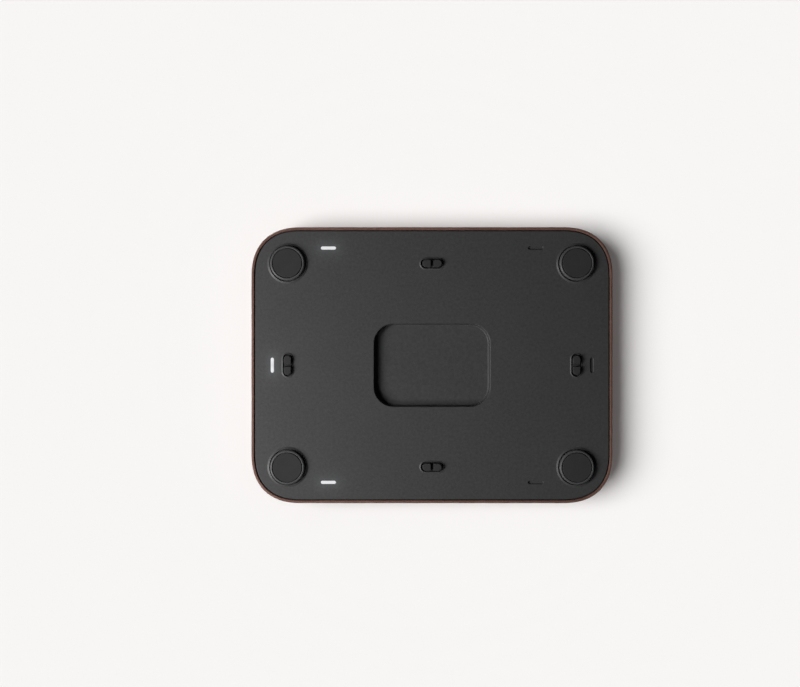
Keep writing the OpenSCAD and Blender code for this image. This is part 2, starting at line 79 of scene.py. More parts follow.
def mixed(tree, factor, a, b, blend="MIX"):
    """Colour a passing into colour b as factor goes from 0 to 1."""
    made = add_node(tree, "ShaderNodeMix", {"data_type": "RGBA", "blend_type": blend}, _0=factor, _6=a, _7=b)
    return made.outputs[2]


def noise(tree, where, scale, detail=3.0, rough=0.55):
    """Fractal noise of about 1 / scale metres per lump, from 0 to 1."""
    return add_node(tree, "ShaderNodeTexNoise", None, Vector=where, Scale=scale, Detail=detail,
                    Roughness=rough).outputs[0]


def cells(tree, where, scale, feature="F1"):
    """Distance to the nearest point of a random set spaced about 1 / scale metres."""
    return add_node(tree, "ShaderNodeTexVoronoi", {"feature": feature}, Vector=where, Scale=scale).outputs["Distance"]


def effect(name, inputs, outputs):
    """A shader node group with the named inputs and outputs, and its two end nodes."""
    group = bpy.data.node_groups.new(name, "ShaderNodeTree")
    for title, kind in inputs:
        group.interface.new_socket(title, in_out="INPUT", socket_type=kind)
    for title, kind in outputs:
        group.interface.new_socket(title, in_out="OUTPUT", socket_type=kind)
    return group, group.nodes.new("NodeGroupInput").outputs, group.nodes.new("NodeGroupOutput").inputs


def spark_texture():
    """The skin a spark-eroded mould leaves: fine lumps with pits between them, and a slow drift of tone."""
    group, given, result = effect("spark_texture", [("Vector", "NodeSocketVector"), ("Grain", "NodeSocketFloat")],
                                  [("Height", "NodeSocketFloat"), ("Tone", "NodeSocketFloat")])
    lumps = noise(group, given["Vector"], given["Grain"], 4.0, 0.62)
    pits = remap(group, cells(group, given["Vector"], maths(group, "MULTIPLY", given["Grain"], 0.8)), 0.0, 0.55)
    height = maths(group, "ADD", maths(group, "MULTIPLY", lumps, 0.6), maths(group, "MULTIPLY", pits, 0.4))
    group.links.new(height, result["Height"])
    drift = noise(group, given["Vector"], maths(group, "MULTIPLY", given["Grain"], 0.32), 2.0, 0.5)
    tone = maths(group, "ADD", maths(group, "MULTIPLY", drift, 0.5), maths(group, "MULTIPLY", lumps, 0.5))
    group.links.new(tone, result["Tone"])
    return group


def rubbed_edges():
    """Where handling has polished an edge: the edge mask broken up by two sizes of noise."""
    group, given, result = effect("rubbed_edges", [("Vector", "NodeSocketVector"), ("Edge", "NodeSocketFloat")],
                                  [("Mask", "NodeSocketFloat")])
    patches = remap(group, noise(group, given["Vector"], 90.0, 4.0, 0.6), 0.38, 0.62)
    scuffs = remap(group, noise(group, given["Vector"], 900.0, 3.0, 0.6), 0.3, 0.7, 0.4, 1.0)
    mask = maths(group, "MULTIPLY", maths(group, "MULTIPLY", patches, scuffs), given["Edge"], True)
    group.links.new(mask, result["Mask"])
    return group


def settled_dust():
    """Thin dust: specks and a haze that thickens in patches."""
    group, given, result = effect("settled_dust", [("Vector", "NodeSocketVector"), ("Amount", "NodeSocketFloat")],
                                  [("Mask", "NodeSocketFloat")])
    haze = remap(group, noise(group, given["Vector"], 24.0, 4.0, 0.6), 0.42, 0.75, 0.0, 0.6)
    specks = remap(group, cells(group, given["Vector"], 620.0), 0.16, 0.05)
    chosen = remap(group, noise(group, given["Vector"], 170.0, 1.0, 0.5), 0.56, 0.64)
    mask = maths(group, "ADD", haze, maths(group, "MULTIPLY", specks, chosen))
    group.links.new(maths(group, "MULTIPLY", mask, given["Amount"], True), result["Mask"])
    return group


SPARK, RUBBED, DUST = spark_texture(), rubbed_edges(), settled_dust()


def place(tree, group, **sockets):
    """Puts a shared effect into a material with its own values."""
    return add_node(tree, "ShaderNodeGroup", {"node_tree": group}, **sockets).outputs


def new_material(name, **sockets):
    """A material with one Principled shader, whose plain numbers sit on its own sockets."""
    material = bpy.data.materials.new(name)
    material.use_nodes = True
    tree = material.node_tree
    shader = tree.nodes["Principled BSDF"]
    for key, value in sockets.items():
        shader.inputs[key.replace("_", " ")].default_value = value
    where = add_node(tree, "ShaderNodeTexCoord").outputs["Object"]
    return material, tree, shader.inputs, where


def bump(tree, sockets, height, distance, strength=1.0):
    """Raises height by distance metres on the shader's normal."""
    made = add_node(tree, "ShaderNodeBump", None, Height=height, Distance=distance, Strength=strength)
    tree.links.new(made.outputs[0], sockets["Normal"])


def moulded_plastic(name, colour, grain, depth, rough, spread=0.12, dust=0.0, rub=0.0, shine=0.35, gloss=0.15):
    """Moulded plastic: tone drift, polished edges and thin dust over a spark-eroded skin."""
    material, tree, sockets, where = new_material(name, Specular_IOR_Level=shine)
    skin = place(tree, SPARK, Vector=where, Grain=grain)
    low = tuple(c * (1 - spread) for c in colour[:3]) + (1,)
    high = tuple(c * (1 + spread) for c in colour[:3]) + (1,)
    tinted = mixed(tree, remap(tree, skin["Tone"], 0.3, 0.7), low, high)
    edge = add_node(tree, "ShaderNodeAttribute", {"attribute_name": "edge"}).outputs["Fac"]
    worn = place(tree, RUBBED, Vector=where, Edge=edge)["Mask"]
    polished = tuple(min(1.0, c * (1 + rub)) for c in colour[:3]) + (1,)
    tinted = mixed(tree, worn, tinted, polished)
    laid = place(tree, DUST, Vector=where, Amount=dust)["Mask"]
    tinted = mixed(tree, laid, tinted, (0.22, 0.21, 0.2, 1))
    tree.links.new(tinted, sockets["Base Color"])
    tree.links.new(remap(tree, worn, 0.0, 1.0, rough, rough - gloss), sockets["Roughness"])
    bump(tree, sockets, skin["Height"], depth)
    return material


def dress(node, material):
    """Gives a CAD node its finish."""
    slots = nodes[node].data.materials
    slots.clear()
    slots.append(material)


dress("tray_tub", moulded_plastic("tub_plastic", TUB_BLACK, 2600.0, 0.00004, 0.55))


# The leather wrap: one strip of thin grained cowhide, glued to the moulded wall.
# It turns in under the wall, runs up the outside and over the soft rim, and ends at the tray's
# floor. Its two ends meet in a butt seam in the middle of the rear.
BODY_LENGTH, BODY_WIDTH = 280.0, 214.0
CORNER_REACH, CORNER_POWER = 39.0, 2.39
BASE_Z, PLATE_TOP, FLOOR_TOP, RIM_Z = 4.3, 6.3, 16.5, 28.0
HIDE, TURN_IN, FOLD, RIM_HALF = 0.8, 2.4, 0.9, 3.0
HIDE_TONES = ((0.066, 0.030, 0.023, 1), (0.176, 0.083, 0.063, 1), (0.290, 0.150, 0.115, 1))


def tray_outline(corner_steps, run_step):
    """Points and outward normals round the tray, anticlockwise from +X, in mm.
    A corner is reach * (cos t ** (2 / p), sin t ** (2 / p)) about its own centre, for t from 0 to a
    quarter turn, and its normal is (cos t ** (2 - 2 / p), sin t ** (2 - 2 / p)) made one long.
    Straight runs cut into steps join the corners."""
    t = np.linspace(0, math.pi / 2, corner_steps + 1)
    wave = np.clip(np.stack([np.cos(t), np.sin(t)], 1), 0, 1)
    curve = CORNER_REACH * wave ** (2 / CORNER_POWER)
    facing = wave ** (2 - 2 / CORNER_POWER)
    facing /= np.linalg.norm(facing, axis=1)[:, None]
    half = np.array([BODY_LENGTH / 2 - CORNER_REACH, BODY_WIDTH / 2 - CORNER_REACH])
    signs = np.array([[1, 1], [-1, 1], [-1, -1], [1, -1]])
    turns = [np.array([[1, 0], [0, 1]]), np.array([[0, 1], [-1, 0]]), -np.eye(2), np.array([[0, -1], [1, 0]])]
    points, normals = [], []
    for q in range(4):
        corner, away = half * signs[q] + curve @ turns[q], facing @ turns[q]
        nxt = half * signs[(q + 1) % 4] + curve[0] @ turns[(q + 1) % 4]
        count = max(2, int(np.linalg.norm(nxt - corner[-1]) / run_step))
        run = corner[-1] + (nxt - corner[-1]) * np.linspace(0, 1, count + 1)[1:-1, None]
        points += [corner, run]
        normals += [away, np.repeat(away[-1:], len(run), 0)]
    return np.concatenate(points), np.concatenate(normals)


def sector(centre, radius, start, end, steps):
    """Points of an arc in a section, from angle start to angle end in degrees."""
    a = np.radians(np.linspace(start, end, steps + 1))
    return np.array(centre) + radius * np.stack([np.cos(a), np.sin(a)], 1)


def straight(a, b, steps):
    """Points from a to b in equal steps, without b."""
    return np.array(a) + (np.array(b, float) - np.array(a)) * (np.arange(steps) / steps)[:, None]


def quads(rows, columns, close_rows=False, close_columns=True):
    """Faces of a grid of rows x columns points, joined end to end where it closes."""
    i = np.arange(rows if close_rows else rows - 1)[:, None]
    j = np.arange(columns if close_columns else columns - 1)[None]
    k, l = (i + 1) % rows, (j + 1) % columns
    return np.stack([i * columns + j, i * columns + l, k * columns + l, k * columns + j], -1).reshape(-1, 4)


def carried(path, section, close_section=False):
    """A section of (inset, z) pairs carried round a path: each point is the path's point less
    inset times its normal, at height z. Gives the points and the faces."""
    points, normals = path
    section = np.asarray(section, float)
    flat = points[None] - section[:, 0, None, None] * normals[None]
    height = np.broadcast_to(section[:, 1, None, None], flat.shape[:2] + (1,))
    return np.concatenate([flat, height], 2).reshape(-1, 3), quads(len(section), len(points), close_section)


def build(name, parts, material, sharp=35.0, edge=None):
    """Joins parts of (points in mm, faces) into one mesh: doubles merged, faces turned outwards,
    smooth but for creases over the sharp angle. edge(points) gives the polish mask."""
    start, points, faces = 0, [], []
    for part_points, part_faces in parts:
        points.append(np.asarray(part_points, float))
        faces += (np.asarray(part_faces) + start).tolist()
        start += len(part_points)
    points = np.concatenate(points)
    mesh = bpy.data.meshes.new(name)
    mesh.from_pydata((points * MM).tolist(), [], faces)
    body = bmesh.new()
    body.from_mesh(mesh)
    bmesh.ops.remove_doubles(body, verts=body.verts, dist=0.004 * MM)
    bmesh.ops.dissolve_degenerate(body, dist=0.002 * MM, edges=body.edges)
    bmesh.ops.recalc_face_normals(body, faces=body.faces)
    body.to_mesh(mesh)
    body.free()
    mesh.shade_smooth()
    mesh.set_sharp_from_angle(angle=math.radians(sharp))
    if edge:
        where = np.empty(len(mesh.vertices) * 3)
        mesh.vertices.foreach_get("co", where)
        mask = mesh.attributes.new("edge", "FLOAT", "POINT")
        mask.data.foreach_set("value", edge(where.reshape(-1, 3) / MM).astype(np.float32))
    mesh.materials.append(material)
    piece = bpy.data.objects.new(name, mesh)
    bpy.context.collection.objects.link(piece)
    piece.modifiers.new("even_shading", "WEIGHTED_NORMAL").keep_sharp = True
    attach(piece, "root")
    return piece


def hide_grain():
    """Grained cowhide: pebbles a little under a millimetre across, the creases between them, pores
    inside them, and the slow patches of the dye."""
    group, given, result = effect("hide_grain", [("Vector", "NodeSocketVector"), ("Pebble", "NodeSocketFloat")],
                                  [("Height", "NodeSocketFloat"), ("Crease", "NodeSocketFloat"),
                                   ("Tone", "NodeSocketFloat")])
    drift = add_node(group, "ShaderNodeTexNoise", None, Vector=given["Vector"], Scale=420.0, Detail=2.0)
    pulled = add_node(group, "ShaderNodeVectorMath", {"operation": "SCALE"}, _0=drift.outputs["Color"], Scale=0.0011)
    bent = add_node(group, "ShaderNodeVectorMath", {"operation": "ADD"}, _0=given["Vector"],
                    _1=pulled.outputs[0]).outputs[0]
    crease = remap(group, cells(group, bent, given["Pebble"], "DISTANCE_TO_EDGE"), 0.0, 0.16, 1.0, 0.0)
    small = remap(group, cells(group, bent, maths(group, "MULTIPLY", given["Pebble"], 2.3), "DISTANCE_TO_EDGE"),
                  0.0, 0.12, 1.0, 0.0)
    pores = noise(group, given["Vector"], 5200.0, 2.0, 0.6)
    height = maths(group, "SUBTRACT", maths(group, "MULTIPLY", pores, 0.25), maths(group, "MULTIPLY", crease, 0.62))
    height = maths(group, "SUBTRACT", height, maths(group, "MULTIPLY", small, 0.2))
    group.links.new(maths(group, "ADD", height, 0.8), result["Height"])
    group.links.new(maths(group, "MAXIMUM", crease, maths(group, "MULTIPLY", small, 0.5)), result["Crease"])
    dye = maths(group, "ADD", maths(group, "MULTIPLY", noise(group, given["Vector"], 34.0, 3.0, 0.6), 0.45),
                maths(group, "MULTIPLY", noise(group, given["Vector"], 820.0, 3.0, 0.65), 0.55))
    group.links.new(dye, result["Tone"])
    return group


HIDE_GRAIN = hide_grain()


def brown_leather(name, tones, pebble, depth, rough):
    """Dyed leather: dark in the creases, lighter where the dye is thin, paler along rubbed edges."""
    material, tree, sockets, where = new_material(name, Specular_IOR_Level=0.38)
    grain = place(tree, HIDE_GRAIN, Vector=where, Pebble=pebble)
    dyed = mixed(tree, remap(tree, grain["Tone"], 0.36, 0.64), tones[1], tones[2])
    dyed = mixed(tree, remap(tree, grain["Crease"], 0.0, 1.0, 0.0, 0.75), dyed, tones[0])
    edge = add_node(tree, "ShaderNodeAttribute", {"attribute_name": "edge"}).outputs["Fac"]
    worn = place(tree, RUBBED, Vector=where, Edge=edge)["Mask"]
    dyed = mixed(tree, maths(tree, "MULTIPLY", worn, 0.35), dyed, (0.30, 0.19, 0.15, 1))
    tree.links.new(dyed, sockets["Base Color"])
    tree.links.new(remap(tree, grain["Height"], 0.2, 1.0, rough + 0.14, rough - 0.04), sockets["Roughness"])
    bump(tree, sockets, grain["Height"], depth)
    return material


def wrap_section():
    """The strip's section, outside first: in under the wall, the turned edge, the side, the rim, the
    inside, then back along the moulded wall. Also says which points are on its outer skin."""
    under, low, rim = (TURN_IN - HIDE, BASE_Z + HIDE), (FOLD, BASE_Z + FOLD), (RIM_HALF, RIM_Z - RIM_HALF)
    outside = np.concatenate([
        straight((TURN_IN, PLATE_TOP), (TURN_IN, BASE_Z + HIDE), 4),
        sector(under, HIDE, 0, -90, 10),
        sector(low, FOLD, 270, 180, 12),
        straight((0, BASE_Z + 2 * FOLD), (0, RIM_Z - RIM_HALF), 12),
        sector(rim, RIM_HALF, 180, 0, 28),
        straight((2 * RIM_HALF, RIM_Z - RIM_HALF - 0.6), (2 * RIM_HALF, FLOOR_TOP), 6),
        [[2 * RIM_HALF, FLOOR_TOP]]])
    inside = np.concatenate([
        [[2 * RIM_HALF - HIDE, FLOOR_TOP]],
        sector(rim, RIM_HALF - HIDE, 0, 180, 16),
        sector(low, FOLD - HIDE, 180, 270, 4),
        [[TURN_IN - HIDE, BASE_Z + HIDE], [TURN_IN - HIDE, PLATE_TOP]]])
    return np.concatenate([outside, inside]), len(outside)


def wrapped_leather():
    """The strip carried round the tray. The outer skin swells and sinks by sines of the way round,
    is drawn into gathers under each corner, and dips into the butt seam."""
    path = tray_outline(44, 2.4)
    section, skin = wrap_section()
    points, faces = carried(path, section, True)
    grid = points.reshape(len(section), -1, 3)
    step = np.linalg.norm(np.roll(path[0], -1, 0) - path[0], axis=1)
    s = np.cumsum(step) - step
    round_way = 2 * math.pi * s / step.sum()
    swell = 0.05 * np.sin(17 * round_way + 0.6) + 0.035 * np.sin(41 * round_way + 2.1) + 0.02 * np.sin(97 * round_way)
    slope = np.gradient(section, axis=0)
    away = np.stack([-slope[:, 1], slope[:, 0]], 1)
    away /= np.linalg.norm(away, axis=1)[:, None]
    corner = np.minimum(np.abs(path[1][:, 0]), np.abs(path[1][:, 1])) * math.sqrt(2)
    turned = np.clip(1 - (section[:, 1] - BASE_Z) / 1.5, 0, 1) * (np.arange(len(section)) < skin)
    gathers = 0.05 * turned[:, None] * (corner * np.sin(s * 2 * math.pi / 2.9))[None]
    on_skin = np.zeros(len(section))
    on_skin[3:skin - 2] = 1
    seam = -0.22 * np.exp(-(path[0][:, 0] / 0.42) ** 2) * (path[1][:, 1] > 0.99)
    rise = on_skin[:, None] * ((swell + seam)[None] * (1 - turned)[:, None] + gathers - 0.07)
    grid[..., :2] -= (rise * away[:, 0, None])[..., None] * path[1][None]
    grid[..., 2] += rise * away[:, 1, None]
    return [(points, faces)]


def wrap_edge(p):
    """Polish along the rim's crown and the turned lower edge."""
    crown = np.exp(-((p[:, 2] - RIM_Z) / 1.6) ** 2)
    return np.clip(crown + 0.5 * np.exp(-((p[:, 2] - BASE_Z) / 0.5) ** 2), 0, 1)


wrap_leather = brown_leather("wrap_leather", HIDE_TONES, 860.0, 0.00014, 0.43)
wrap = build("leather_strip", wrapped_leather(), wrap_leather, 50.0, wrap_edge)
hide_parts("leather_wrap")


# The floor pad: a stiff board lined with the same hide, dropped onto the moulded floor.
# A creased line runs along its edge, and pressed rings mark where a phone and earbuds charge.
PAD_INSET, PAD_TOP, PAD_SOFT = 6.15, 17.7, 0.4
PAD_TONES = ((0.062, 0.029, 0.022, 1), (0.160, 0.077, 0.059, 1), (0.245, 0.130, 0.101, 1))
COIL_X, PHONE_RING, BUD_RING = 79.0, 22.5, 15.0


def circle(x, y, radius, steps):
    """Points and outward normals of a circle."""
    a = np.arange(steps) * 2 * math.pi / steps
    facing = np.stack([np.cos(a), np.sin(a)], 1)
    return np.array([x, y]) + radius * facing, facing


def loop(path, inset):
    """The path drawn in by inset."""
    return path[0] - inset * path[1]


def flat_face(outer, holes, z):
    """A flat face at height z inside one loop and outside others, cut into triangles."""
    rings = [np.asarray(ring, float) for ring in [outer] + holes]
    triangles = tessellate_polygon([[Vector((p[0], p[1], 0)) for p in ring] for ring in rings])
    flat = np.concatenate(rings)
    return np.concatenate([flat, np.full((len(flat), 1), z)], 1), np.array(triangles)


def pressed_line(width, depth, z, steps=8):
    """Section of a pressed crease: z lowered by depth times a raised cosine across its width."""
    u = np.linspace(0, 1, steps + 1)
    return np.stack([u * width, z - depth * (0.5 - 0.5 * np.cos(2 * math.pi * u))], 1)


def lined_pad():
    """The pad from its edge inwards: the rounded edge, the creased border, then the flat with two
    pressed rings, each a crease carried round a circle."""
    path = tray_outline(40, 6.0)
    border = pressed_line(1.3, 0.28, PAD_TOP) + [PAD_INSET + 3.2, 0]
    edge = sector((PAD_INSET + PAD_SOFT, PAD_TOP - PAD_SOFT), PAD_SOFT, 180, 90, 8)
    parts = [carried(path, np.concatenate([[[PAD_INSET, FLOOR_TOP]], edge, border]))]
    parts.append(flat_face(loop(path, PAD_INSET), [], FLOOR_TOP))
    rings = []
    for x, radius in ((-COIL_X, PHONE_RING), (COIL_X, BUD_RING)):
        ring = circle(x, 0, radius + 0.6, 128)
        parts.append(carried(ring, pressed_line(1.2, 0.4, PAD_TOP)))
        parts.append(flat_face(loop(ring, 1.2), [], PAD_TOP))
        rings.append(ring[0])
    parts.append(flat_face(loop(path, border[-1, 0]), rings, PAD_TOP))
    return parts


def pad_edge(p):
    return np.zeros(len(p))


pad_leather = brown_leather("pad_leather", PAD_TONES, 780.0, 0.00012, 0.48)
pad = build("lined_floor", lined_pad(), pad_leather, 50.0, pad_edge)
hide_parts("floor_pad")


# The charging coils and what lies round them, stuck under the moulded floor: enamelled copper
# wound flat, pressed ferrite, a ring of plated magnets, and ribbon leads of amber film.
def wound_copper():
    """Flat winding: rings of wire about each coil's centre, from the distance to it."""
    material, tree, sockets, where = new_material("coil_copper", Metallic=1.0, Roughness=0.32)
    axes = add_node(tree, "ShaderNodeSeparateXYZ", None, Vector=where).outputs
    side = maths(tree, "SUBTRACT", maths(tree, "ABSOLUTE", axes["X"]), COIL_X * MM)
    away = maths(tree, "SQRT", maths(tree, "ADD", maths(tree, "MULTIPLY", side, side),
                                     maths(tree, "MULTIPLY", axes["Y"], axes["Y"])))
    turn = maths(tree, "PINGPONG", away, 0.0004)
    wire = remap(tree, turn, 0.0, 0.0004)
    tree.links.new(mixed(tree, wire, (0.16, 0.05, 0.02, 1), (0.72, 0.32, 0.16, 1)), sockets["Base Color"])
    bump(tree, sockets, wire, 0.0002)
    return material


def plated_metal(name, colour, rough):
    """Plated steel: fine brushing and small changes of roughness."""
    material, tree, sockets, where = new_material(name, Metallic=1.0)
    brushed = add_node(tree, "ShaderNodeMapping", None, Vector=where)
    brushed.inputs["Scale"].default_value = (1.0, 14.0, 1.0)
    streaks = noise(tree, brushed.outputs[0], 900.0, 4.0, 0.6)
    dark = tuple(c * 0.82 for c in colour[:3]) + (1,)
    tree.links.new(mixed(tree, streaks, dark, colour), sockets["Base Color"])
    tree.links.new(remap(tree, streaks, 0.3, 0.7, rough, rough + 0.14), sockets["Roughness"])
    bump(tree, sockets, streaks, 0.00001)
    return material


def amber_film():
    """Ribbon lead: amber film with parallel copper tracks showing through."""
    material, tree, sockets, where = new_material("lead_film", Roughness=0.3)
    axes = add_node(tree, "ShaderNodeSeparateXYZ", None, Vector=where).outputs
    track = maths(tree, "PINGPONG", maths(tree, "ADD", axes["X"], axes["Y"]), 0.0004)
    shown = remap(tree, track, 0.00012, 0.0002)
    tree.links.new(mixed(tree, shown, (0.34, 0.12, 0.015, 1), (0.52, 0.24, 0.05, 1)), sockets["Base Color"])
    bump(tree, sockets, shown, 0.00003)
    return material


copper, film = wound_copper(), amber_film()
dress("phone_coil", copper)
dress("bud_coil", copper)
pressed_ferrite = moulded_plastic("ferrite", (0.03, 0.03, 0.032, 1), 3000.0, 0.00003, 0.7)
dress("phone_ferrite", pressed_ferrite)
dress("bud_ferrite", pressed_ferrite)
dress("phone_magnets", plated_metal("magnet", (0.56, 0.56, 0.58, 1), 0.24))
dress("coil_leads", film)
dress("light_leads", film)


# The base cover: one moulding in charcoal ABS with a fine spark-eroded skin. It carries the foot
# collars, the clip collars, the slots and the cable bay; its inner posts and ribs are not built here.
COVER_GREY = (0.060, 0.060, 0.0615, 1)
PLATE_INSET, PLATE_SOFT = 3.1, 0.4
FOOT_X, FOOT_Y = 111.8, 78.8
FEET = [("front_left", -1, -1), ("front_right", 1, -1), ("rear_left", -1, 1), ("rear_right", 1, 1)]
COLLAR_RADIUS, COLLAR_WIDTH, COLLAR_HEIGHT = 15.8, 1.8, 0.6
FOOT_RADIUS, FOOT_GROOVE, FOOT_STEM = 13.4, 1.2, 4.0
CLIPS = [("front", 0, -78.7, 0), ("rear", 0, 78.7, 0), ("left", -111.7, 0, 90), ("right", 111.7, 0, 90)]
CLIP_LENGTH, CLIP_WIDTH, CLIP_GROOVE = 15.0, 5.8, 0.9
CLIP_COLLAR_WIDTH, CLIP_COLLAR, PIECE_FIT = 1.1, 0.4, 0.15
SLOT_LENGTH, SLOT_WIDTH, SLOT_LEAD, SLOT_RECESS = 11.8, 2.6, 0.25, 1.25
LIT_SLOTS = [("front", -80.3, -90.8, 0), ("rear", -80.3, 90.8, 0), ("left", -123.8, 0, 90)]
BLANK_SLOTS = [("front", 80.3, -90.8, 0), ("rear", 80.3, 90.8, 0), ("right", 123.8, 0, 90)]
BAY_HALF = (45.0, 32.15)
BAY_CORNER, BAY_DEPTH, BAY_DRAFT, BAY_LIP, BAY_WALL, BAY_FILLET = 15.5, 7.0, 0.6, 0.6, 1.6, 1.0
BAY_CEILING = BASE_Z + BAY_DEPTH
PORT_Z, PORT_WIDTH, PORT_HEIGHT = 8.0, 8.9, 3.2
PORTS = [("usb_c_output", -10.3), ("usb_c_input", 13.1)]


def pill(x, y, turn, length, width, steps=14, run=1):
    """Points and outward normals of a pill about (x, y), long along X and then turned by turn degrees:
    a half circle at +X, the long side cut into run equal steps, and the same turned half round."""
    a = np.linspace(-math.pi / 2, math.pi / 2, steps + 1)
    facing = np.stack([np.cos(a), np.sin(a)], 1)
    right = facing * width / 2 + [(length - width) / 2, 0]
    side = straight(right[-1], right[-1] - [length - width, 0], run)[1:]
    half, out = np.concatenate([right, side]), np.concatenate([facing, np.repeat([[0.0, 1.0]], run - 1, 0)])
    points, normals = np.concatenate([half, -half]), np.concatenate([out, -out])
    c, s = math.cos(math.radians(turn)), math.sin(math.radians(turn))
    spin = np.array([[c, s], [-s, c]])
    return points @ spin + [x, y], normals @ spin


def rounded_box(half, radius, steps):
    """Points and outward normals of a rectangle with round corners."""
    a = np.linspace(0, math.pi / 2, steps + 1)
    facing = np.concatenate([np.stack([np.cos(a + q * math.pi / 2), np.sin(a + q * math.pi / 2)], 1)
                             for q in range(4)])
    signs = np.repeat([[1, 1], [-1, 1], [-1, -1], [1, -1]], steps + 1, 0)
    return signs * (np.array(half) - radius) + radius * facing, facing


def collar(width, height, z, steps=6):
    """Section of a raised collar from outside in: an even slope to its crest over five sixths of the
    width, eased in and out by arcs, then a quarter of an ellipse that drops back to z."""
    u, t = np.linspace(0, 1, 2 * steps + 1), np.linspace(0, math.pi / 2, steps + 1)
    run = width * 5 / 6
    climb = height * (u - 0.12 * np.sin(2 * math.pi * u) / (2 * math.pi))
    slope = np.stack([run * u, z - climb], 1)
    drop = np.stack([run + (width - run) * np.sin(t), z - height * np.cos(t)], 1)[1:]
    return np.concatenate([slope, drop])


def bay_inset(z):
    """How far the bay's wall has leaned in at height z."""
    return BAY_DRAFT * (z - BASE_Z) / BAY_DEPTH


def bay_side(path, section, first, last):
    """One skin of the bay carried round it, with a window left in its -X wall between the section
    rows first and last, which is filled by a flat face that the two socket holes pierce.
    Returns its parts and the hole loops as (x, y, z) points."""
    points, faces = carried(path, section)
    columns = len(path[0])
    wall = np.where((path[1][:, 0] < -0.997))[0]
    left, right = wall[0], wall[-1]
    row, column = faces[:, 0] // columns, faces[:, 0] % columns
    keep = (row < first) | (row >= last) | (column < left) | (column >= right)
    grid = points.reshape(-1, columns, 3)
    rim = np.concatenate([grid[first, left:right], grid[first:last, right], grid[last, right:left:-1],
                          grid[last:first:-1, left]])
    holes = []
    for _, y in PORTS:
        ring = pill(y, PORT_Z, 0, PORT_WIDTH + 2 * PIECE_FIT, PORT_HEIGHT + 2 * PIECE_FIT)[0]
        lean = np.interp(ring[:, 1], section[:, 1], section[:, 0])
        bend = BAY_CORNER - np.sqrt(BAY_CORNER ** 2 - np.clip(np.abs(ring[:, 0]) - BAY_HALF[1] + BAY_CORNER, 0, 9) ** 2)
        holes.append(np.column_stack([-BAY_HALF[0] + lean + bend, ring]))
    rings = [rim] + holes
    triangles = tessellate_polygon([[Vector((p[1], p[2], 0)) for p in ring] for ring in rings])
    return [(points, faces[keep]), (np.concatenate(rings), np.array(triangles))], holes


def between(a, b):
    """Faces joining two closed loops of the same count."""
    return np.concatenate([a, b]), quads(2, len(a))


def block(x0, x1, y0, y1, z0, z1):
    """A closed straight rib or post, as a square section carried up."""
    corners = np.array([[x0, y0], [x1, y0], [x1, y1], [x0, y1]], float)
    return [(np.concatenate([np.c_[corners, np.full(4, z0)], np.c_[corners, np.full(4, z1)]]),
             np.concatenate([quads(2, 4), [[3, 2, 1, 0], [4, 5, 6, 7]]]))]


